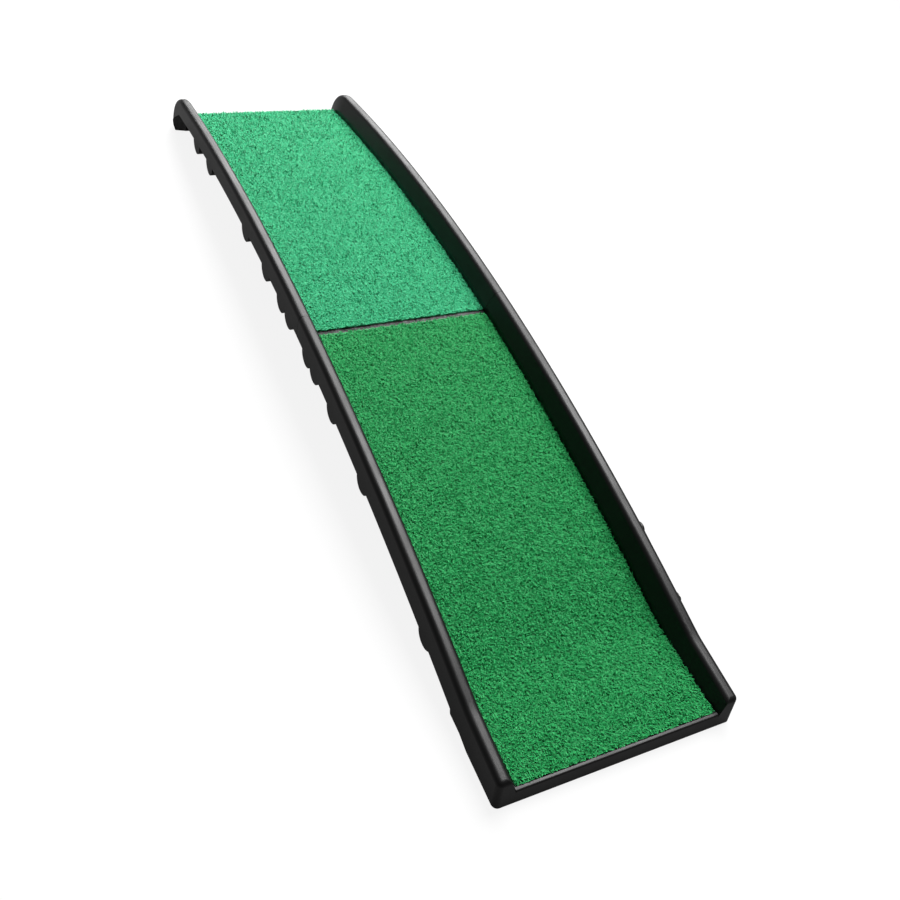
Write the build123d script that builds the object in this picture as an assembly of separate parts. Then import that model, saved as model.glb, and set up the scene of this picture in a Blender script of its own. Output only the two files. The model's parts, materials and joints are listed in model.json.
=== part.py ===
from build123d import *
import os
from math import acos, atan2, cos, degrees, radians, sin

# Folding dog ramp in millimetres. It lies open on the floor as a shallow arch:
# +X runs up its length to the vehicle end, +Y is its left side, +Z is up.
# It is drawn in a seam frame, whose origin is on the rail tops at the seam,
# with x along the arch and z square to it, and the last lines set it on the floor.
# A station is a length along the arch from the seam, and a depth is measured
# square to the arch, down from the rail tops.

# overall
ramp_width = 430.0
arch_radius = 4540.0
half_length = 910.0
stand_tilt = radians(1.95)
seam_gap = 0.8
clearance = 0.3
far = 400.0  # how far cutting shapes reach past the ramp

# rails
rail_foot = 34.4
rail_slope_in = 13.0
rail_slope_down = 35.0
rail_round = 9.5
rail_wall = 3.2
block_extra = 60.0
skirt_depth_seam = 45.0
skirt_depth_mid = 49.5
skirt_depth_top = 40.0
skirt_mid_station = 410.0
skirt_overrun = 5.0

# deck plate and turf mats
deck_depth = 50.0
deck_wall = 4.5
turf_depth = 42.5
turf_seam_gap = 6.0
turf_side_gap = 1.2
turf_end_station = 886.0
deck_end_station = 893.0
deck_end_depth = 75.0

# the ground end lies flat on the floor
tip_depth = 34.0
sole_lift = 1.5
sole_length = 92.0
ground_deck_height = 23.5
lip_height = 28.0
lip_back = 13.0
lip_wall = 4.0
lip_round = 3.0
bend_radius = 240.0
rail_end_height = 55.0
rail_end_back = 11.0
rail_end_slope = radians(3.9)
rail_bend_radius = 160.0

# the vehicle end is a rounded nose
nose_start = 840.0
nose_station = 938.0
nose_depth = 75.0
nose_under_station = 867.0

# half-round cross ribs
rib_radius = 23.6
rib_bottom = 71.0
rib_wall = 3.0
rib_set_back = 2.5
rib_top_depth = 38.0
lower_ribs = (-52.0, -95.0, -190.0, -347.0, -637.0, -772.0)
upper_ribs = (53.0, 101.5, 199.0, 335.0, 610.0, 717.0)

# hinge under the seam
hinge_depth = 66.5
knuckle_radius = 10.5
knuckle_pitch = 50.0
knuckle_width = 46.0
knuckle_count = 7
web_reach = 28.0
web_toe = 9.0
rod_radius = 5.0
rod_half = 179.0
bush_radius = 7.0
running_gap = 0.05
washer_thick = 3.0
push_nut_radius = 8.5
push_nut_thick = 2.0
fold_limit = radians(167.0)

# rubber feet of the vehicle end
foot_start = 805.0
foot_start_depth = 54.9
foot_tip = 914.0
foot_tip_depth = 95.1
foot_end = 936.0
foot_end_depth = 87.0
foot_round = 7.0
foot_inner_y = 120.0
foot_inset = 1.0
foot_post_station = 872.0
foot_post_depth = 70.0
foot_post_ys = (138.0, 166.0)
post_radius = 6.0

# rubber pads of the ground end
pad_x = (22.0, 62.0)
pad_y = (95.0, 165.0)
pad_thick = 5.0
pad_round = 6.0
pad_post_ys = (112.0, 148.0)
pad_frame_wall = 2.5

# screws for feet and pads
screw_radius = 2.0
screw_head_radius = 4.2
screw_head = 2.6
screw_grip = 1.4
screw_bite = 11.0
recess_share = 0.45  # a drive recess against its screw head

# latch on the right side
latch_station = 700.0
latch_depth = 24.0
latch_thick = 5.0
latch_end_radius = 12.0
latch_waist = 8.0
latch_pin_radius = 4.0
latch_notch = 4.6
latch_washer = 1.0
latch_head_radius = 8.0
latch_head = 3.0
latch_thread_radius = 2.5
latch_thread = 11.0
latch_boss_radius = 6.5

half_width = ramp_width / 2
deck_half = half_width - rail_foot
turf_half = deck_half - turf_side_gap
arch_centre = Vector(0, 0, -arch_radius)
hinge_at = Vector(0, 0, -hinge_depth)
left = Vector(0, 1, 0)


def spot(station, depth):
    angle = station / arch_radius
    reach = arch_radius - depth
    return Vector(reach * sin(angle), 0, reach * cos(angle) - arch_radius)


def square_up(station):
    return (spot(station, 0) - spot(station, 1)).normalized()


tip = spot(-half_length, tip_depth)
floor_along = Vector(cos(stand_tilt), 0, -sin(stand_tilt))
floor_up = Vector(sin(stand_tilt), 0, cos(stand_tilt))


def floor_spot(along, height):
    return tip + floor_along * along + floor_up * height


# outlines, seen from the side

def closed(edges):
    return Face(Wire(edges))


def polygon(*points):
    return closed(Polyline(*points, close=True).edges())


def soft_corners(side, radius, *points):
    return side.fillet_2d(radius, [side.vertices().sort_by_distance(at)[0] for at in points])


def arch(depth, start, end):
    return ThreePointArc(spot(start, depth), spot((start + end) / 2, depth), spot(end, depth))


def ground_run(depth, start, line_end, slope, blend):
    # the arch at one depth from a start station, bent into a straight run to line_end
    along = floor_along * cos(slope) + floor_up * sin(slope)
    up = floor_up * cos(slope) - floor_along * sin(slope)
    reach = arch_radius - depth
    turn = acos((blend - (arch_centre - line_end).dot(up)) / (reach + blend))
    ray = up * cos(turn) - along * sin(turn)
    bend_at = arch_centre + ray * (reach + blend)
    leave = atan2(ray.X, ray.Z) * arch_radius
    return [
        arch(depth, start, leave),
        ThreePointArc(spot(leave, depth), bend_at - (ray + up).normalized() * blend, bend_at - up * blend),
        Line(bend_at - up * blend, line_end),
    ]


def end_face(height, inset=0):
    # the slanted front plane of lip and rails at the ground end
    rise = (height - sole_lift) / (rail_end_height - sole_lift)
    return floor_spot(inset + rail_end_back * rise, height)


def lower_top(inset):
    back = end_face(rail_end_height - inset, inset)
    return ground_run(inset, -seam_gap / 2 - inset, back, rail_end_slope, rail_bend_radius + inset)


def lower_block(inset):
    # side view of a rail drawn deeper than it is
    top = lower_top(inset)
    front = end_face(-block_extra, inset)
    seam = spot(-seam_gap / 2 - inset, skirt_depth_mid + block_extra)
    return closed(top + [
        Line(top[-1] @ 1, front),
        Line(front, floor_spot(sole_length, -block_extra)),
        Line(floor_spot(sole_length, -block_extra), seam),
        Line(seam, top[0] @ 0),
    ])


def lower_under():
    # everything below the skirts and the sole
    seam = spot(skirt_overrun, skirt_depth_seam)
    sole = floor_spot(sole_length, sole_lift)
    front = floor_spot(-far, sole_lift)
    return closed([
        ThreePointArc(seam, spot(-skirt_mid_station, skirt_depth_mid), sole),
        Line(sole, front),
    ] + Polyline(front, floor_spot(-far, -far), spot(skirt_overrun, far), seam).edges())


def upper_top(inset):
    lean = nose_start / arch_radius
    return [
        arch(inset, seam_gap / 2 + inset, nose_start),
        TangentArc(spot(nose_start, inset), spot(nose_station - inset, nose_depth),
                   tangent=(cos(lean), 0, -sin(lean))),
    ]


def upper_block(inset):
    top = upper_top(inset)
    below = top[-1] @ 1 + top[-1] % 1 * block_extra
    middle = spot(nose_under_station / 2, skirt_depth_mid + block_extra)
    seam = spot(seam_gap / 2 + inset, skirt_depth_mid + block_extra)
    return closed(top + [
        Line(top[-1] @ 1, below),
        ThreePointArc(below, middle, seam),
        Line(seam, top[0] @ 0),
    ])


def upper_under():
    seam = spot(-skirt_overrun, skirt_depth_seam)
    under = spot(nose_under_station, skirt_depth_top)
    nose = spot(nose_station, nose_depth)
    out = nose + (nose - under).normalized() * block_extra
    middle = spot(nose_under_station / 2, (skirt_depth_top + skirt_depth_seam) / 2)
    return closed([
        ThreePointArc(seam, middle, under),
        Line(under, out),
    ] + Polyline(out, spot(half_length + far, far), spot(-skirt_overrun, far), seam).edges())


def joined(shapes):
    total = shapes[0]
    for shape in shapes[1:]:
        total = total + shape
    return total


# solids

def bar(side, y0, y1):
    return extrude(side.moved(Location((0, y0, 0))), y1 - y0, dir=(0, 1, 0))


def both_sides(solid):
    return solid + mirror(solid, about=Plane.XZ)


def rod(at, radius, y0, y1):
    disc = Plane(origin=(at.X, y0, at.Z), z_dir=(0, 1, 0)) * Circle(radius)
    return extrude(disc, y1 - y0, dir=(0, 1, 0))


def ring(at, outer, inner, y0, y1):
    return rod(at, outer, y0, y1) - rod(at, inner, y0, y1)


def post(at, up, radius, length):
    return extrude(Plane(origin=at, z_dir=up) * Circle(radius), length, dir=up)


def ribs(stations, inset, y0, y1):
    # full round bars, cut off at the sole where they reach it
    axes = [spot(station, rib_bottom - rib_radius) for station in stations]
    bars = joined([rod(axis, rib_radius - inset, y0, y1) for axis in axes])
    height = sole_lift + inset
    below = polygon(floor_spot(-far, height), floor_spot(far, height),
                    floor_spot(far, -far), floor_spot(-far, -far))
    return bars - bar(below, y0, y1)


def near(shape, *points):
    return [shape.edges().sort_by_distance(point)[0] for point in points]


def rail_block(outline, top, inset, end_edges=()):
    # a solid rail with its inner face sloped back and its top rounded
    inner, outer = deck_half + inset, half_width - inset
    block = bar(outline(inset), inner, outer).solid()
    wall = block.faces().sort_by(Axis.Y)[0]
    marks = [edge @ 0.5 for edge in top(inset)]
    corners = near(block, *[mark + left * inner for mark in marks])
    block = block.chamfer(rail_slope_down, rail_slope_in, corners, wall)
    crests = [mark + left * (inner + rail_slope_in) for mark in marks]
    shoulders = [mark + left * outer for mark in marks]
    return fillet(near(block, *crests, *shoulders, *end_edges), rail_round - inset)


def beyond(run, rise, y0, y1):
    # everything above a run of edges, or below it where rise is negative
    first, last = run[0] @ 0, run[-1] @ 1
    away = Vector(0, 0, rise)
    return bar(closed(run + Polyline(last, last + away, first + away, first).edges()), y0, y1)


def rib_shells(stations, y0, y1, wall):
    # half pipes below the deck, with an end wall of this thickness at y1
    shells = ribs(stations, 0, y0, y1) - ribs(stations, rib_wall, y0, y1 - wall)
    return shells - beyond([arch(rib_top_depth, -half_length, half_length)], far, y0 - 1, y1 + 1)


def rail(outline, top, under, wall_foot, stations, end_edges):
    # a hollow left rail, open below, whose inner wall runs down into the deck plate
    wall = deck_half + rail_wall
    shell = rail_block(outline, top, 0, end_edges) - rail_block(outline, top, rail_wall)
    shell = shell - bar(under(), wall, half_width + 1) - beyond(wall_foot, -far, deck_half - 1, wall)
    return shell + rib_shells(stations, deck_half, half_width - rib_set_back, rail_wall)


def deck(run_top, run_under, stations):
    # deck plate and hollow half-round ribs between the rails
    inner = deck_half + rail_wall / 2
    plate = closed(run_top + [Line(run_top[-1] @ 1, run_under[-1] @ 1)] + run_under
                   + [Line(run_under[0] @ 0, run_top[0] @ 0)])
    shells = ribs(stations, 0, -inner, inner) - ribs(stations, rib_wall, -inner, inner)
    return bar(plate, -inner, inner) + (shells - beyond(run_under, far, -half_width, half_width))


def lower_run(lift, start=-seam_gap / 2):
    # the surface that lies this far above the deck plate's top
    end = floor_spot(lip_back, ground_deck_height + lift)
    return ground_run(deck_depth - lift, start, end, 0, bend_radius - lift)


def lower_wall_foot():
    # along the middle of the deck plate's thickness, then down to the sole behind the lip
    run = lower_run(-deck_wall / 2, skirt_overrun)
    sole = floor_spot(lip_back, sole_lift)
    return run + [Line(run[-1] @ 1, sole), Line(sole, floor_spot(-far, sole_lift))]


def lip_side():
    under = ground_deck_height - deck_wall
    inner = end_face(under, lip_wall)
    side = polygon(end_face(sole_lift), end_face(lip_height), floor_spot(lip_back, lip_height),
                   floor_spot(lip_back, under), inner, end_face(sole_lift, lip_wall))
    return soft_corners(side, lip_round, end_face(lip_height), floor_spot(lip_back, lip_height))


def knuckle_ys(first):
    middle = (knuckle_count - 1) / 2
    return [(i - middle) * knuckle_pitch for i in range(first, knuckle_count, 2)]


def knuckles(ys, towards, bore):
    # each knuckle hangs from the deck plate on a web at its own side of the seam
    root = -deck_depth - deck_wall / 2
    near_side = towards * seam_gap
    web = polygon((near_side, 0, root), (towards * web_reach, 0, root),
                  (towards * web_toe, 0, -hinge_depth - knuckle_radius / 2), (near_side, 0, -hinge_depth))
    parts = []
    for y in ys:
        low, high = y - knuckle_width / 2, y + knuckle_width / 2
        barrel = bar(web, low, high) + rod(hinge_at, knuckle_radius, low, high)
        parts.append(barrel - rod(hinge_at, bore, low, high))
    return joined(parts)


def screw(head_at, up):
    # countersunk from below: head_at is the middle of the head's outer face
    head = post(head_at, up, screw_head_radius, screw_head)
    recess = post(head_at, up, screw_head_radius * recess_share, screw_head * recess_share)
    shank = post(head_at + up * screw_head, up, screw_radius, screw_grip + screw_bite)
    return head - recess + shank


def screw_hole(head_at, up):
    # room for a screw's head and shank in the rubber that it holds
    head = post(head_at - up * far, up, screw_head_radius + clearance, far + screw_head)
    return head + post(head_at, up, screw_radius + clearance, screw_head + screw_grip + 1)


# ground half

def pad_screw_at(y):
    middle = (pad_x[0] + pad_x[1]) / 2
    return floor_spot(middle, pad_thick - screw_grip - screw_head) + left * y


def pad_outline(inset):
    width = pad_x[1] - pad_x[0] - 2 * inset
    length = pad_y[1] - pad_y[0] - 2 * inset
    at = floor_spot((pad_x[0] + pad_x[1]) / 2, 0) + left * (pad_y[0] + pad_y[1]) / 2
    frame = Plane(origin=at, x_dir=floor_along, z_dir=floor_up)
    return frame * RectangleRounded(width, length, pad_round - inset)


def pad_raised(inset, low, high):
    return extrude(pad_outline(inset).moved(Location(floor_up * low)), high - low, dir=floor_up)


def pad_seat():
    # a box frame with two posts under the deck plate carries each pad
    high = ground_deck_height - deck_wall / 2
    seat = pad_raised(0, pad_thick, high) - pad_raised(pad_frame_wall, pad_thick, high)
    for y in pad_post_ys:
        start = pad_screw_at(y) + floor_up * (screw_head + screw_grip)
        seat = seat + post(start, floor_up, post_radius, high - pad_thick)
        seat = seat - post(start, floor_up, screw_radius, screw_bite)
    return seat


def ground_pad():
    pad = pad_raised(0, 0, pad_thick)
    for y in pad_post_ys:
        pad = pad - screw_hole(pad_screw_at(y), floor_up)
    return pad


def lower_deck():
    back = end_face(rail_end_height)
    ends = [back + left * (half_width - rail_foot / 3), end_face(ground_deck_height) + left * half_width]
    inner = deck_half + rail_wall / 2
    body = deck(lower_run(0), lower_run(-deck_wall), lower_ribs) + bar(lip_side(), -inner, inner)
    body = body + both_sides(rail(lower_block, lower_top, lower_under, lower_wall_foot(), lower_ribs, ends))
    body = body + both_sides(pad_seat())
    return body + knuckles(knuckle_ys(0), -1, rod_radius)


def lower_turf():
    under = lower_run(0)
    top = lower_run(deck_depth - turf_depth)
    side = closed(top + [Line(top[-1] @ 1, under[-1] @ 1)] + under + [Line(under[0] @ 0, top[0] @ 0)])
    gap = -turf_seam_gap
    cut = polygon(spot(gap, 0), spot(gap, hinge_depth), spot(0, hinge_depth), spot(0, 0))
    return bar(side, -turf_half, turf_half) - bar(cut, -half_width, half_width)


# vehicle half

def upper_deck():
    top = arch(deck_depth, seam_gap / 2, deck_end_station)
    under = arch(deck_depth + deck_wall, seam_gap / 2, deck_end_station)
    inner = deck_half + rail_wall / 2
    back = deck_end_station - deck_wall
    end_wall = polygon(spot(back, deck_depth), spot(deck_end_station, deck_depth),
                       spot(deck_end_station, deck_end_depth), spot(back, deck_end_depth))
    body = deck([top], [under], upper_ribs) + bar(end_wall, -inner, inner)
    wall_foot = [arch(deck_depth + deck_wall / 2, -skirt_overrun, nose_station)]
    body = body + both_sides(rail(upper_block, upper_top, upper_under, wall_foot, upper_ribs, []))
    body = body + knuckles(knuckle_ys(1), 1, bush_radius)
    for y in foot_post_ys:
        body = body + both_sides(foot_post(y))
    return body


def foot_screw_at(y):
    return spot(foot_post_station, foot_post_depth + screw_grip + screw_head) + left * y


def foot_post(y):
    up = square_up(foot_post_station)
    start = spot(foot_post_station, foot_post_depth) + left * y
    boss = post(start, up, post_radius, foot_post_depth - deck_depth - deck_wall / 2)
    return boss - post(start, up, screw_radius, screw_bite)


def upper_turf():
    side = closed([
        arch(turf_depth, turf_seam_gap, turf_end_station),
        Line(spot(turf_end_station, turf_depth), spot(turf_end_station, deck_depth)),
        arch(deck_depth, turf_seam_gap, turf_end_station),
        Line(spot(turf_seam_gap, deck_depth), spot(turf_seam_gap, turf_depth)),
    ])
    return bar(side, -turf_half, turf_half)


def vehicle_foot():
    # a wedge that lies flat on a tailgate when the ramp slopes down from it
    heel = spot(foot_start, foot_start_depth)
    toe = spot(foot_tip, foot_tip_depth)
    end = spot(foot_end, foot_end_depth)
    outer_top = skirt_depth_top + clearance
    inner_top = deck_depth + deck_wall + clearance
    outer = polygon(heel, toe, end, spot(nose_station - foot_inset, nose_depth + clearance),
                    spot(nose_under_station, outer_top), spot(foot_start, outer_top + foot_inset))
    notch = deck_end_station - deck_wall - clearance
    inner = polygon(heel, toe, end, spot(foot_end, deck_end_depth + foot_inset),
                    spot(notch, deck_end_depth + foot_inset), spot(notch, inner_top), spot(foot_start, inner_top))
    rail_in = deck_half + rail_wall + clearance
    foot = bar(soft_corners(outer, foot_round, toe, end), rail_in, half_width - foot_inset)
    foot = foot + bar(soft_corners(inner, foot_round, toe, end), foot_inner_y, rail_in)
    up = square_up(foot_post_station)
    for y in foot_post_ys:
        boss = spot(foot_post_station, foot_post_depth) + left * y
        foot = foot - post(boss, up, post_radius + clearance, far) - screw_hole(foot_screw_at(y), up)
    return foot


# hinge

def push_nut():
    start = knuckle_ys(0)[-1] + knuckle_width / 2
    return ring(hinge_at, push_nut_radius, rod_radius, start, start + push_nut_thick)


def hinge_washers():
    half = washer_thick / 2
    middles = [y + knuckle_pitch / 2 for y in knuckle_ys(0)[:-1] + knuckle_ys(1)]
    return [ring(hinge_at, knuckle_radius, rod_radius + running_gap, y - half, y + half) for y in middles]


def knuckle_bushes():
    half = knuckle_width / 2
    return [ring(hinge_at, bush_radius, rod_radius + running_gap, y - half, y + half) for y in knuckle_ys(1)]


# latch on the right side: it turns on the ground half and hooks a stud on the vehicle half

def fold_about(point):
    arm = point - hinge_at
    return hinge_at + Vector(arm.X * cos(fold_limit) + arm.Z * sin(fold_limit), 0,
                             arm.Z * cos(fold_limit) - arm.X * sin(fold_limit))


latch_pivot = spot(-latch_station, latch_depth)
keeper_at = spot(latch_station, latch_depth)
latch_reach = fold_about(keeper_at) - latch_pivot
latch_along = (spot(1 - latch_station, latch_depth) - latch_pivot).normalized()
latch_down = Vector(latch_along.Z, 0, -latch_along.X)
latch_swing = atan2(latch_reach.dot(latch_down), latch_reach.dot(latch_along))
lever_face = -half_width - latch_washer - clearance
head_face = lever_face - latch_thick - clearance


def latch_lever():
    hook = latch_pivot + latch_along * latch_reach.length
    low = lever_face - latch_thick
    waist = latch_down * latch_waist
    mouth = latch_along * latch_notch
    side = polygon(latch_pivot + waist, hook + waist, hook - waist, latch_pivot - waist)
    lever = bar(side, low, lever_face)
    for end in (latch_pivot, hook):
        lever = lever + rod(end, latch_end_radius, low, lever_face)
    out = latch_down * latch_end_radius * 2
    slot = polygon(hook + mouth, hook - mouth, hook - mouth + out, hook + mouth + out)
    lever = lever - rod(hook, latch_notch, low, lever_face) - bar(slot, low, lever_face)
    return lever - rod(latch_pivot, latch_pin_radius + running_gap, low, lever_face)


def latch_spacer():
    return ring(latch_pivot, latch_head_radius, latch_pin_radius, -half_width - latch_washer, -half_width)


def latch_screw(at):
    # shoulder screw: thread in the deck's boss, smooth shoulder, flat head
    head = rod(at, latch_head_radius, head_face - latch_head, head_face)
    recess = rod(at, latch_head_radius * recess_share, head_face - latch_head, head_face - latch_head / 2)
    shoulder = rod(at, latch_pin_radius, head_face, -half_width)
    return head - recess + shoulder + rod(at, latch_thread_radius, -half_width, latch_thread - half_width)


def with_latch_boss(deck_body, at):
    inside = -half_width + rail_wall
    body = deck_body + rod(at, latch_boss_radius, inside - 0.5, latch_thread - half_width)
    return body - rod(at, latch_thread_radius, -half_width - 1, latch_thread - half_width + 1)


# everything, standing on the floor with its middle over the origin

def right_side(shape):
    return mirror(shape, about=Plane.XZ)


def screws(head_places, up):
    left_ones = [screw(at, up) for at in head_places]
    return Compound(children=left_ones + [right_side(one) for one in left_ones])


nodes = {
    "lower_deck": with_latch_boss(lower_deck(), latch_pivot),
    "upper_deck": with_latch_boss(upper_deck(), keeper_at),
    "lower_turf": lower_turf(),
    "upper_turf": upper_turf(),
    "ground_pad_left": ground_pad(),
    "ground_pad_right": right_side(ground_pad()),
    "ground_pad_screws": screws([pad_screw_at(y) for y in pad_post_ys], floor_up),
    "vehicle_foot_left": vehicle_foot(),
    "vehicle_foot_right": right_side(vehicle_foot()),
    "vehicle_foot_screws": screws([foot_screw_at(y) for y in foot_post_ys], square_up(foot_post_station)),
    "hinge_rod": rod(hinge_at, rod_radius, -rod_half, rod_half),
    "hinge_bushes": Compound(children=knuckle_bushes()),
    "hinge_washers": Compound(children=hinge_washers()),
    "push_nut_left": push_nut(),
    "push_nut_right": right_side(push_nut()),
    "latch_lever": latch_lever(),
    "latch_washer": latch_spacer(),
    "latch_pivot_screw": latch_screw(latch_pivot),
    "latch_keeper": latch_screw(keeper_at),
}

turn = Rotation(0, -degrees(stand_tilt), 0)
standing = {name: shape.moved(turn) for name, shape in nodes.items()}
boxes = [shape.bounding_box() for shape in standing.values()]
low = Vector(*[min(getattr(box.min, axis) for box in boxes) for axis in "XYZ"])
high = Vector(*[max(getattr(box.max, axis) for box in boxes) for axis in "XYZ"])
shift = Vector(-(low.X + high.X) / 2, -(low.Y + high.Y) / 2, -low.Z)

os.makedirs("parts", exist_ok=True)
for name, shape in standing.items():
    export_step(shape.moved(Location(shift)), f"parts/{name}.step")


def row_place(point):
    return (point.dot(floor_along) + shift.X, point.Y + shift.Y, point.dot(floor_up) + shift.Z)


heel = spot(foot_start, foot_start_depth)
toe = spot(foot_tip, foot_tip_depth)
foot_slope = atan2((toe - heel).dot(floor_up), (toe - heel).dot(floor_along))

print("size", high - low)
print("hinge axis", row_place(hinge_at))
print("latch pivot", row_place(latch_pivot))
print("latch swing in degrees", degrees(latch_swing))
print("vehicle foot face", row_place((heel + toe) / 2), "slope in degrees", degrees(foot_slope))
print("ground pad face", row_place(floor_spot(sum(pad_x) / 2, 0) + left * sum(pad_y) / 2))
print("arch centre", row_place(arch_centre))
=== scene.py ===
import math
import bpy
import numpy as np
from mathutils import Matrix, Vector
from mathutils.bvhtree import BVHTree
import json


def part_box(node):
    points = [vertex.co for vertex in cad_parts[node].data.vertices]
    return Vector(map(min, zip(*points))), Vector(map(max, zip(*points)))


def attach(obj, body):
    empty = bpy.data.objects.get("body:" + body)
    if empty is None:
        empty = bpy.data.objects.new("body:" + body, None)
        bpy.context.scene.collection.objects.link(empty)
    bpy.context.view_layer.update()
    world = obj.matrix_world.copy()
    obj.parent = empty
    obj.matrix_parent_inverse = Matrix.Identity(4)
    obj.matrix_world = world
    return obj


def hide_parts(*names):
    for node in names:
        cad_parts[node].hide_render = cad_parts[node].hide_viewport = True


# Folding dog ramp: two black mouldings with grass mats, opened on a pale floor.

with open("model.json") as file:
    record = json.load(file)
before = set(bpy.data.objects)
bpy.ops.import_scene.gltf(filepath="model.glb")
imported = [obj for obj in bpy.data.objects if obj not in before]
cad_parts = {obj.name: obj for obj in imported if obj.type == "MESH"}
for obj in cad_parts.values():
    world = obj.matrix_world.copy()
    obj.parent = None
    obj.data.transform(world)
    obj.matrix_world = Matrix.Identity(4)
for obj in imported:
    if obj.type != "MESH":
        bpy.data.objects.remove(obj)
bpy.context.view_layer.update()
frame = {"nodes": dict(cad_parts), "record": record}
scene = bpy.context.scene
print("frame loaded:", len(frame["nodes"]), "nodes")


# shader maths: wrap a socket, then write plain expressions

class Val:
    def __init__(self, mat, socket):
        self.mat = mat
        self.socket = socket

    def math(self, operation, *others):
        values = [self.socket] + [o.socket if isinstance(o, Val) else o for o in others]
        node = self.mat.node("ShaderNodeMath", {"operation": operation}, dict(enumerate(values)))
        return Val(self.mat, node.outputs[0])

    def flipped(self, operation, other):
        node = self.mat.node("ShaderNodeMath", {"operation": operation}, {0: other, 1: self.socket})
        return Val(self.mat, node.outputs[0])

    def __add__(self, other):
        return self.math("ADD", other)

    def __radd__(self, other):
        return self.flipped("ADD", other)

    def __sub__(self, other):
        return self.math("SUBTRACT", other)

    def __rsub__(self, other):
        return self.flipped("SUBTRACT", other)

    def __mul__(self, other):
        return self.math("MULTIPLY", other)

    def __truediv__(self, other):
        return self.math("DIVIDE", other)

    def clip(self):
        return self.math("MAXIMUM", 0.0).math("MINIMUM", 1.0)

    def step(self, low, high):
        return ((self - low) / (high - low)).clip()


class Mat:
    def __init__(self, name):
        self.data = bpy.data.materials.new(name)
        self.data.use_nodes = True
        self.tree = self.data.node_tree
        self.shader = self.tree.nodes["Principled BSDF"]
        self.place = self.node("ShaderNodeTexCoord").outputs["Object"]

    def node(self, kind, settings=None, inputs=None):
        node = self.tree.nodes.new(kind)
        for key, value in (settings or {}).items():
            if key == "stops":
                self.setStops(node.color_ramp, value)
            else:
                setattr(node, key, value)
        for key, value in (inputs or {}).items():
            self.feed(node.inputs[key], value)
        return node

    def setStops(self, ramp, stops):
        while len(ramp.elements) < len(stops):
            ramp.elements.new(0.5)
        for element, (at, colour) in zip(ramp.elements, stops):
            element.position = at
            element.color = (*colour, 1.0)

    def feed(self, socket, value):
        if isinstance(value, Val):
            value = value.socket
        if isinstance(value, bpy.types.NodeSocket):
            self.tree.links.new(value, socket)
        elif hasattr(value, "__len__") and len(value) == 3 and socket.type == "RGBA":
            socket.default_value = (*value, 1.0)
        else:
            socket.default_value = value

    def noise(self, scale, detail=3.0, rough=0.5, where=None):
        node = self.node("ShaderNodeTexNoise", {}, {
            "Vector": where or self.place, "Scale": scale, "Detail": detail, "Roughness": rough})
        return Val(self, node.outputs["Fac"])

    def cells(self, scale):
        node = self.node("ShaderNodeTexVoronoi", {}, {"Vector": self.place, "Scale": scale})
        return Val(self, node.outputs["Distance"])

    def stretched(self, size):
        scaled = self.node("ShaderNodeVectorMath", {"operation": "MULTIPLY"}, {0: self.place, 1: size})
        return scaled.outputs[0]

    def attribute(self, name):
        return Val(self, self.node("ShaderNodeAttribute", {"attribute_name": name}).outputs["Fac"])

    def geometry(self, output):
        return Val(self, self.node("ShaderNodeNewGeometry").outputs[output])

    def mix(self, factor, low, high):
        node = self.node("ShaderNodeMix", {"data_type": "RGBA"}, {0: factor, 6: low, 7: high})
        return node.outputs[2]

    def bump(self, height, strength, distance, below=None):
        inputs = {"Height": height, "Strength": strength, "Distance": distance}
        if below is not None:
            inputs["Normal"] = below
        return self.node("ShaderNodeBump", {}, inputs).outputs["Normal"]

    def finish(self, **sockets):
        for key, value in sockets.items():
            self.feed(self.shader.inputs[key.replace("_", " ")], value)
        return self.data


# finishes

plasticLook = {
    "base": (0.0012, 0.0012, 0.0013), "worn": (0.0075, 0.0072, 0.0074), "dusty": (0.0034, 0.0033, 0.0031),
    "rough": 0.35, "shine": 0.3, "patchScale": 9.0, "patchRough": 0.12, "scuffRough": 0.12, "dustRough": 0.08,
    "streakSize": (6.0, 160.0, 160.0), "streaksFrom": (0.62, 0.74), "scuffScale": 30.0,
    "scuffsFrom": (0.48, 0.62), "scuffShare": 0.55, "edgesFrom": (0.52, 0.60), "edgeShare": 0.45,
    "upwardFrom": (0.55, 1.0), "dustFrom": (0.40, 0.70), "dustShare": 0.6,
    "grainScale": 900.0, "fineScale": 1.6, "grainBump": (0.42, 0.00012),
    "waveScale": 14.0, "waveBump": (0.22, 0.0012),
}


def mouldedPlastic(name, look):
    mat = Mat(name)
    grain = mat.cells(look["grainScale"])
    fine = mat.noise(look["grainScale"] * look["fineScale"], 2.0)
    patches = mat.noise(look["patchScale"], 4.0, 0.6)
    streaks = mat.noise(1.0, 5.0, 0.65, mat.stretched(look["streakSize"])).step(*look["streaksFrom"])
    scuffs = streaks * mat.noise(look["scuffScale"], 3.0).step(*look["scuffsFrom"])
    edges = mat.geometry("Pointiness").step(*look["edgesFrom"])
    normal = mat.node("ShaderNodeNewGeometry").outputs["Normal"]
    upward = Val(mat, mat.node("ShaderNodeSeparateXYZ", {}, {0: normal}).outputs[2])
    dust = upward.step(*look["upwardFrom"]) * patches.step(*look["dustFrom"])
    colour = mat.mix(dust * look["dustShare"], look["base"], look["dusty"])
    worn = scuffs * look["scuffShare"] + edges * look["edgeShare"]
    colour = mat.mix(worn.clip(), colour, look["worn"])
    rough = look["rough"] + patches * look["patchRough"] + scuffs * look["scuffRough"]
    rough = rough + dust * look["dustRough"]
    relief = mat.bump(grain * 0.7 + fine * 0.5, *look["grainBump"])
    relief = mat.bump(mat.noise(look["waveScale"], 1.0), *look["waveBump"], relief)
    return mat.finish(Base_Color=colour, Roughness=rough.clip(), Normal=relief,
                      Specular_IOR_Level=look["shine"])


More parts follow.
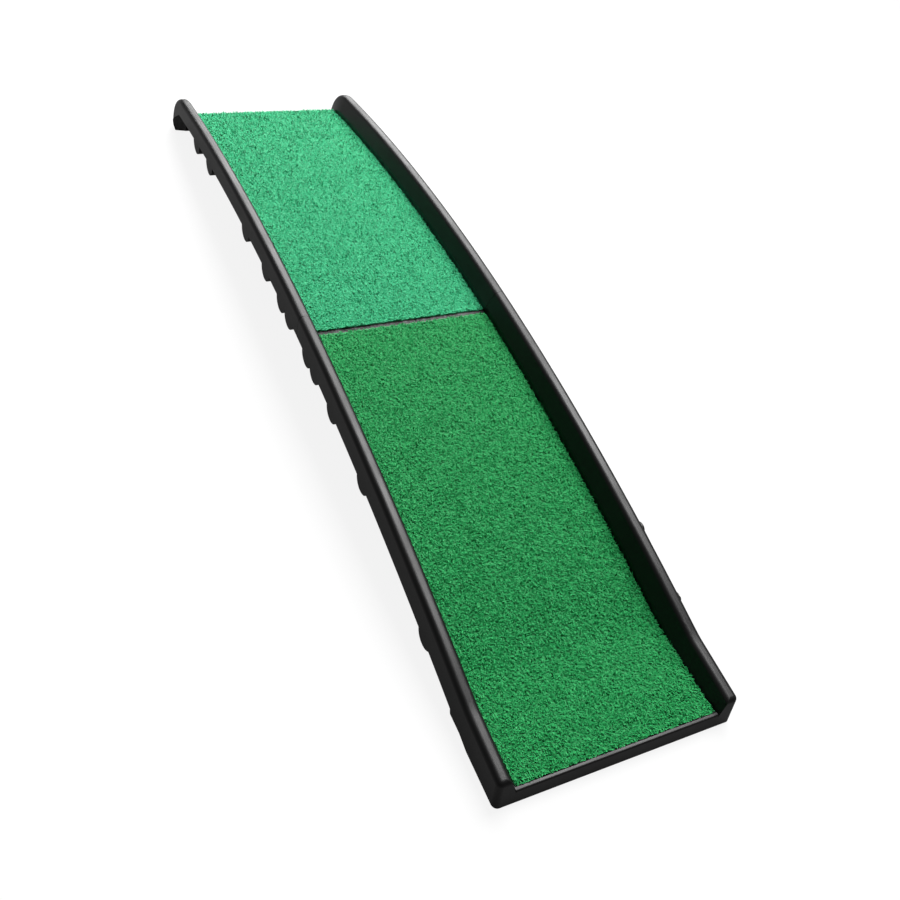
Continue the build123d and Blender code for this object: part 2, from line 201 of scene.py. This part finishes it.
rubberLook = {
    "base": (0.0009, 0.0009, 0.0010), "chalky": (0.003, 0.003, 0.0031), "rough": 0.72, "shine": 0.12,
    "bloomScale": 26.0, "bloomFrom": (0.45, 0.72), "bloomShare": 0.7, "bloomRough": 0.15,
    "poreScale": 1400.0, "speckleScale": 420.0, "speckleFrom": (0.0, 0.35), "poreBump": (0.5, 0.00015),
}


def mouldedRubber(name, look):
    mat = Mat(name)
    bloom = mat.noise(look["bloomScale"], 5.0, 0.6).step(*look["bloomFrom"])
    pores = mat.noise(look["poreScale"], 2.0)
    speckle = mat.cells(look["speckleScale"]).step(*look["speckleFrom"])
    colour = mat.mix(bloom * look["bloomShare"], look["base"], look["chalky"])
    relief = mat.bump(pores * 0.6 + speckle * 0.4, *look["poreBump"])
    return mat.finish(Base_Color=colour, Roughness=(look["rough"] + bloom * look["bloomRough"]).clip(),
                      Normal=relief, Specular_IOR_Level=look["shine"])


steelLook = {
    "base": (0.56, 0.57, 0.60), "tint": (0.66, 0.62, 0.52), "dull": (0.34, 0.34, 0.35), "rough": 0.26,
    "cloudScale": 70.0, "tintFrom": (0.42, 0.66), "cloudRough": 0.18,
    "spotScale": 240.0, "spotsFrom": (0.10, 0.02), "spotShare": 0.7, "spotRough": 0.3,
    "turnedSize": (900.0, 60.0, 900.0), "turnedBump": (0.25, 0.00006),
}


def zincSteel(name, look):
    mat = Mat(name)
    cloud = mat.noise(look["cloudScale"], 4.0, 0.6)
    turned = mat.noise(1.0, 3.0, 0.6, mat.stretched(look["turnedSize"]))
    spots = mat.cells(look["spotScale"]).step(*look["spotsFrom"])
    colour = mat.mix(cloud.step(*look["tintFrom"]), look["base"], look["tint"])
    colour = mat.mix(spots * look["spotShare"], colour, look["dull"])
    rough = look["rough"] + cloud * look["cloudRough"] + spots * look["spotRough"]
    relief = mat.bump(turned, *look["turnedBump"])
    return mat.finish(Base_Color=colour, Metallic=1.0, Roughness=rough.clip(), Normal=relief)


nylonLook = {
    "base": (0.62, 0.60, 0.53), "aged": (0.46, 0.42, 0.33), "rough": 0.42,
    "cloudScale": 90.0, "agedFrom": (0.40, 0.70),
    "dragSize": (40.0, 700.0, 700.0), "dragBump": (0.3, 0.00008), "dragRough": 0.16,
}


def mouldedNylon(name, look):
    mat = Mat(name)
    cloud = mat.noise(look["cloudScale"], 4.0, 0.55)
    drag = mat.noise(1.0, 3.0, 0.6, mat.stretched(look["dragSize"]))
    relief = mat.bump(drag, *look["dragBump"])
    colour = mat.mix(cloud.step(*look["agedFrom"]), look["base"], look["aged"])
    return mat.finish(Base_Color=colour, Roughness=(look["rough"] + drag * look["dragRough"]).clip(),
                      Normal=relief)


bladeLook = {"rough": 0.5, "toneRough": 0.18, "shine": 0.14, "glintFrom": (0.93, 0.99)}


def grassBlade(name, look):
    # tone is one number for each blade, and rise runs from its base to its end
    mat = Mat(name)
    tone = mat.attribute("tone")
    rise = mat.attribute("rise")
    ramp = mat.node("ShaderNodeValToRGB", {"stops": look["tones"]}, {0: tone}).outputs[0]
    # painted shade: each blade's colour darkens toward its base, where the blades shade one another
    colour = mat.mix((1.0 - rise) * look["rootShade"], ramp, look["root"])
    # painted highlight: the palest blades lighten toward their ends, a painted glint
    bright = tone.step(*bladeLook["glintFrom"]) * rise
    colour = mat.mix(bright * look["glint"], colour, look["tip"])
    rough = bladeLook["rough"] + tone * bladeLook["toneRough"]
    return mat.finish(Base_Color=colour, Roughness=rough.clip(), Specular_IOR_Level=bladeLook["shine"])


backingLook = {
    "weaveScale": 120.0, "fuzzScale": 600.0, "rough": 0.78, "fuzzRough": 0.15, "bump": (0.6, 0.0004),
}


def matBacking(name, cloth):
    mat = Mat(name)
    weave = mat.node("ShaderNodeTexWave", {"bands_direction": "Y"}, {
        "Vector": mat.place, "Scale": backingLook["weaveScale"], "Distortion": 1.2, "Detail": 2.0})
    threads = Val(mat, weave.outputs["Fac"])
    fuzz = mat.noise(backingLook["fuzzScale"], 3.0)
    colour = mat.mix((threads * 0.5 + fuzz * 0.5).clip(), *cloth)
    relief = mat.bump(threads * 0.6 + fuzz * 0.4, *backingLook["bump"])
    rough = backingLook["rough"] + fuzz * backingLook["fuzzRough"]
    return mat.finish(Base_Color=colour, Roughness=rough.clip(), Normal=relief)


# grass mats

grass = {
    "wide": 0.358, "pile": 0.0075, "backing": 0.0022, "pitch": 0.0022, "jitter": 0.75, "tuck": 0.0016,
    "length": 0.0072, "lengthSpread": 0.3, "longest": 0.6, "width": 0.0021, "widths": (0.7, 1.25),
    "lean": 0.85, "leanSpread": 0.25, "curl": 1.3, "curls": (0.55, 1.25), "bendShare": 0.5, "twist": 0.3,
    "strays": 0.06, "strayCurl": 0.35, "clump": 0.009, "clumpSpread": 1.7,
    "overhang": (0.0014, 0.0009), "ragged": 0.0022,
}
backingCells = {"pitch": 0.006, "wander": 0.0009, "reach": 9, "weight": 0.2, "underlap": 0.0004}
bladeRise = (0.0, 0.55, 1.0)
bladeTaper = (1.0, 0.9)
toneDrift = {"near": 0.0042, "nearShare": 0.12, "far": 0.05, "farShare": 0.04, "spread": 0.16}
toneBands = 24
toneFill = 0.8
castFrom = 0.05
leastUpward = 0.5


def surfaceOf(node):
    # rays straight down onto a CAD node
    mesh = frame["nodes"][node].data
    corners = [v.co[:] for v in mesh.vertices]
    return BVHTree.FromPolygons(corners, [p.vertices[:] for p in mesh.polygons])


def cast(tree, xs, ys, height):
    down = Vector((0, 0, -1))
    points = np.full((len(xs), 3), np.nan)
    normals = np.zeros((len(xs), 3))
    for i, (x, y) in enumerate(zip(xs, ys)):
        hit, normal = tree.ray_cast(Vector((x, y, height)), down)[:2]
        if hit is not None:
            points[i] = hit
            normals[i] = normal
    return points, normals


def meshFrom(name, points, faces, smooth=True):
    mesh = bpy.data.meshes.new(name)
    mesh.from_pydata(points, [], faces)
    mesh.polygons.foreach_set("use_smooth", [smooth] * len(mesh.polygons))
    mesh.update()
    piece = bpy.data.objects.new(name, mesh)
    scene.collection.objects.link(piece)
    return piece


def matGrid(node, rng):
    # the mat's top, sampled on a grid a little inside its sides
    low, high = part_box(node)
    tree = surfaceOf(node)
    inset = backingCells["underlap"]
    columns = int((high.x - low.x) / backingCells["pitch"])
    rows = int((high.y - low.y) / backingCells["pitch"])
    xs = np.linspace(low.x + inset, high.x - inset, columns)
    ys = np.linspace(low.y + inset, high.y - inset, rows)
    # the cut edge wanders a little, as scissors leave it
    wander = backingCells["wander"]
    reach = backingCells["reach"]
    weights = np.full(reach, backingCells["weight"])
    ends = [np.convolve(rng.uniform(0, wander, rows + reach - 1), weights, "valid") for _ in range(2)]
    gridX = np.empty((columns, rows))
    for row in range(rows):
        gridX[:, row] = np.linspace(xs[0] + ends[0][row], xs[-1] - ends[1][row], columns)
    gridY = np.broadcast_to(ys, (columns, rows)).copy()
    points, normals = cast(tree, gridX.ravel(), gridY.ravel(), high.z + castFrom)
    return columns, rows, points, normals


def backingSheet(name, node, rng):
    columns, rows, points, normals = matGrid(node, rng)
    under = points - normals * grass["pile"]
    over = under + normals * grass["backing"]
    count = columns * rows
    grid = np.arange(count).reshape(columns, rows)
    quads = np.stack([grid[:-1, :-1], grid[1:, :-1], grid[1:, 1:], grid[:-1, 1:]], -1).reshape(-1, 4)
    faces = [tuple(q + count) for q in quads] + [tuple(q[::-1]) for q in quads]
    rim = list(grid[:, 0]) + list(grid[-1, 1:]) + list(grid[-2::-1, -1]) + list(grid[0, -2:0:-1])
    for a, b in zip(rim, rim[1:] + rim[:1]):
        faces.append((a, b, b + count, a + count))
    corners = np.concatenate([under, over])
    return meshFrom(name, corners.tolist(), [tuple(int(i) for i in f) for f in faces], False)


def bladeRoots(node, rng):
    low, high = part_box(node)
    pitch = grass["pitch"]
    columns = int((high.x - low.x) / pitch)
    rows = int((high.y - low.y) / pitch)
    gx, gy = np.meshgrid(np.arange(columns) + 0.5, np.arange(rows) + 0.5, indexing="ij")
    jitter = grass["jitter"]
    xs = low.x + (gx + rng.uniform(-jitter, jitter, gx.shape)) / columns * (high.x - low.x)
    ys = low.y + (gy + rng.uniform(-jitter, jitter, gy.shape)) / rows * (high.y - low.y)
    tuck = grass["tuck"]
    xs = np.clip(xs.ravel(), low.x + tuck, high.x - tuck)
    ys = np.clip(ys.ravel(), low.y + tuck, high.y - tuck)
    points, normals = cast(surfaceOf(node), xs, ys, high.z + castFrom)
    found = np.isfinite(points[:, 0]) & (normals[:, 2] > leastUpward)
    depth = grass["pile"] - grass["backing"]
    return points[found] - normals[found] * depth, normals[found], (low, high)


def unit(v):
    return v / np.maximum(np.linalg.norm(v, axis=1, keepdims=True), 1e-9)


def clumps(points, rng, size):
    # neighbouring blades lean alike: a random heading for each small patch
    keys = np.floor(points[:, :2] / size).astype(int)
    keys -= keys.min(0)
    table = rng.uniform(0, 2 * math.pi, keys.max(0) + 1)
    return table[keys[:, 0], keys[:, 1]]


def bladeStrips(name, node, rng, tones):
    roots, up, (low, high) = bladeRoots(node, rng)
    count = len(roots)
    heading = clumps(roots, rng, grass["clump"]) + rng.normal(0, grass["clumpSpread"], count)
    side = unit(np.cross(up, np.broadcast_to((1.0, 0, 0), up.shape)))
    ahead = unit(np.cross(side, up))
    lean = np.cos(heading)[:, None] * ahead + np.sin(heading)[:, None] * side
    across = unit(np.cross(lean, up))
    spread = grass["lengthSpread"]
    length = grass["length"] * rng.uniform(1 - spread, 1 + spread * grass["longest"], count)
    width = grass["width"] * rng.uniform(*grass["widths"], count)
    angle = rng.normal(grass["lean"], grass["leanSpread"], count)
    curl = grass["curl"] * rng.uniform(*grass["curls"], count)
    curl = np.where(rng.random(count) < grass["strays"], curl * grass["strayCurl"], curl)
    spine = [roots]
    for a, b in zip(bladeRise[:-1], bladeRise[1:]):
        stepLong = (length * (b - a))[:, None]
        along = np.cos(angle)[:, None] * up + np.sin(angle)[:, None] * lean
        spine.append(spine[-1] + along * stepLong)
        angle = angle + curl * grass["bendShare"]
    twist = rng.uniform(-grass["twist"], grass["twist"], count)[:, None]
    points, rises = [], []
    for level, (place, rise) in enumerate(zip(spine, bladeRise)):
        if level == len(bladeTaper):
            points.append(place[:, None])
            rises.append(np.full((count, 1), rise))
            continue
        half = (width * bladeTaper[level] / 2)[:, None]
        turned = unit(across + lean * twist * rise)
        points.append(np.stack([place - turned * half, place + turned * half], 1))
        rises.append(np.full((count, 2), rise))
    corners = np.concatenate(points, 1)
    rises = np.concatenate(rises, 1)
    per = corners.shape[1]
    ragged = rng.uniform(0, grass["ragged"], (count, 1)) * rng.random((count, 1))
    corners = keepInside(corners, ragged, low, high).reshape(-1, 3)
    first = np.arange(count)[:, None] * per
    faces = []
    for level in range(len(bladeTaper) - 1):
        faces += (first + np.array([0, 1, 3, 2]) + 2 * level).tolist()
    faces += (first + np.array([0, 1, 2]) + 2 * (len(bladeTaper) - 1)).tolist()
    piece = meshFrom(name, corners.tolist(), faces)
    tone = tones(roots, rng)
    writeBladeData(piece, np.repeat(tone, per), rises.ravel())
    print(name, count, "blades,", len(piece.data.polygons), "faces")
    return piece


def keepInside(corners, ragged, low, high):
    # blades bend back, each at its own limit, where they would touch the rails or the other mat
    for axis, overhang in enumerate(grass["overhang"]):
        limits = overhang - ragged
        corners[:, :, axis] = np.clip(corners[:, :, axis], low[axis] - limits, high[axis] + limits)
    return corners


def bladeTones(roots, rng):
    # mostly mid greens, some dark and a few pale, in small drifts within wider ones
    near = np.cos(clumps(roots, rng, toneDrift["near"])) * toneDrift["nearShare"]
    far = np.cos(clumps(roots, rng, toneDrift["far"])) * toneDrift["farShare"]
    tone = np.clip(0.5 + (near + far) + rng.normal(0, toneDrift["spread"], len(roots)), 0, 1)
    return (np.round(tone * toneBands) + 0.5) / (toneBands + 1)


def writeBladeData(piece, tone, rise):
    mesh = piece.data
    for name, values in (("tone", tone), ("rise", rise)):
        mesh.attributes.new(name, "FLOAT", "POINT").data.foreach_set("value", values.astype(np.float32))
    # a map laid out by tone and rise, so that blades alike share their colour
    corner = np.empty(len(mesh.loops), np.int32)
    mesh.loops.foreach_get("vertex_index", corner)
    across = np.arange(len(tone)) % 2
    band = toneFill / (toneBands + 1)
    u = tone + (across - 0.5) * band
    uv = np.stack([u[corner], 0.01 + 0.98 * rise[corner]], 1)
    layer = mesh.uv_layers.new(name="OFBake", do_init=False)
    layer.uv.foreach_set("vector", uv.astype(np.float32).ravel())


# tones run from the darkest blades to the palest
lowerGrass = {
    "tones": [(0.0, (0.008, 0.205, 0.052)), (0.35, (0.010, 0.224, 0.058)), (0.6, (0.012, 0.240, 0.063)),
              (0.85, (0.017, 0.264, 0.074)), (1.0, (0.030, 0.305, 0.096))],
    # painted highlight: the tip colour is a glint on the palest blades
    # painted shade: the root colour darkens the base of each blade
    "root": (0.007, 0.160, 0.039), "rootShade": 0.18, "tip": (0.12, 0.42, 0.20), "glint": 0.3,
    "cloth": ((0.007, 0.165, 0.040), (0.010, 0.215, 0.056)),
}
# painted light: the upper mat is the same grass as the lower one, made paler and bluer to paint the hazy
# light over the upper half
hazedUpperGrass = {
    "tones": [(0.0, (0.021, 0.292, 0.129)), (0.35, (0.024, 0.311, 0.138)), (0.6, (0.027, 0.326, 0.147)),
              (0.85, (0.033, 0.349, 0.161)), (1.0, (0.047, 0.385, 0.186))],
    # painted highlight: the tip colour is a glint on the palest blades
    # painted shade: the root colour darkens the base of each blade
    "root": (0.017, 0.245, 0.100), "rootShade": 0.14, "tip": (0.13, 0.47, 0.27), "glint": 0.2,
    "cloth": ((0.018, 0.255, 0.108), (0.024, 0.305, 0.132)),
}


def layMat(half, look, seed):
    rng = np.random.default_rng(seed)
    backing = backingSheet(half + "MatBacking", half + "_turf", rng)
    blades = bladeStrips(half + "MatBlades", half + "_turf", rng, bladeTones)
    blades.data.materials.append(grassBlade(half + "Blades", look))
    backing.data.materials.append(matBacking(half + "Backing", look["cloth"]))
    for piece in (backing, blades):
        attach(piece, half + "_half")
        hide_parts(half + "_turf")


layMat("lower", lowerGrass, 11)
layMat("upper", hazedUpperGrass, 12)
print("grass mats laid")


# materials of the carried-over parts

finishes = {
    "black_plastic": mouldedPlastic("blackPlastic", plasticLook),
    "black_rubber": mouldedRubber("blackRubber", rubberLook),
    "zinc_steel": zincSteel("zincSteel", steelLook),
    "nylon": mouldedNylon("naturalNylon", nylonLook),
}
for part in frame["record"]["subparts"]:
    if part["material_slot"] in finishes:
        node = frame["nodes"][part["node"]]
        node.data.materials.clear()
        node.data.materials.append(finishes[part["material_slot"]])
print("finishes on the mouldings and fittings")


# floor, lights and camera

stand = {"size": 14.0, "colour": (0.08, 0.08, 0.08), "glow": 0.88, "dimmed": (0.16, 0.16, 0.16), "sky": 0.15}
sensorWidth = 36.0


def paleFloor():
    half = stand["size"] / 2
    floor = meshFrom("floor", [(-half, -half, 0), (half, -half, 0), (half, half, 0), (-half, half, 0)],
                     [(0, 1, 2, 3)], False)
    mat = Mat("floorPaper")
    mat.shader.inputs["Emission Strength"].default_value = stand["glow"]
    # bright to look at, but dim as a light, so that the black mouldings stay black
    seen = mat.node("ShaderNodeLightPath").outputs["Is Camera Ray"]
    glow = mat.mix(seen, stand["dimmed"], (1.0, 1.0, 1.0))
    floor.data.materials.append(mat.finish(
        Base_Color=stand["colour"], Roughness=0.9, Emission_Color=glow, Specular_IOR_Level=0.1))


def softLight(name, place, aim, size, brightness):
    # a rectangle of even brightness, its first side as near to the ramp's length as its aim allows
    data = bpy.data.lights.new(name, "AREA")
    data.shape = "RECTANGLE"
    data.size, data.size_y = size
    data.energy = brightness * math.pi * size[0] * size[1]
    lamp = bpy.data.objects.new(name, data)
    scene.collection.objects.link(lamp)
    back = (Vector(place) - Vector(aim)).normalized()
    across = (Vector((1, 0, 0)) - back * back.x).normalized()
    turn = Matrix((across, back.cross(across), back)).transposed()
    lamp.matrix_world = Matrix.Translation(place) @ turn.to_4x4()


def paleWorld(strength):
    # white to look at, but dim as a light
    world = bpy.data.worlds.new("studio")
    world.use_nodes = True
    tree = world.node_tree
    seen = tree.nodes.new("ShaderNodeLightPath")
    share = tree.nodes.new("ShaderNodeMapRange")
    share.inputs["To Min"].default_value = strength
    tree.links.new(seen.outputs["Is Camera Ray"], share.inputs["Value"])
    tree.nodes["Background"].inputs["Color"].default_value = (1.0, 1.0, 1.0, 1.0)
    tree.links.new(share.outputs["Result"], tree.nodes["Background"].inputs["Strength"])
    scene.world = world


def lookFrom(place, right, up, lens):
    data = bpy.data.cameras.new("camera")
    data.lens = lens
    data.sensor_width = sensorWidth
    camera = bpy.data.objects.new("camera", data)
    scene.collection.objects.link(camera)
    back = Vector(right).cross(Vector(up))
    turn = Matrix((right, up, back)).transposed()
    camera.matrix_world = Matrix.Translation(place) @ turn.to_4x4()
    scene.camera = camera


paleFloor()
paleWorld(stand["sky"])
softLight("overhead", (0.7, -1.3, 3.0), (-0.3, 0.0, 0.1), (1.8, 2.2), 20.0)
softLight("beyond", (2.7, -1.0, 2.1), (0.2, 0.0, 0.1), (1.8, 2.2), 12.0)
softLight("low", (3.4, -0.6, 0.95), (0.6, 0.0, 0.1), (1.0, 2.2), 5.0)
lookFrom((-1.2877, 0.7564, 1.2995), (-0.40827, -0.89035, 0.20144), (0.71833, -0.17719, 0.67276), 38.992)
scene.view_settings.view_transform = "Standard"
print("floor, lights and camera set")
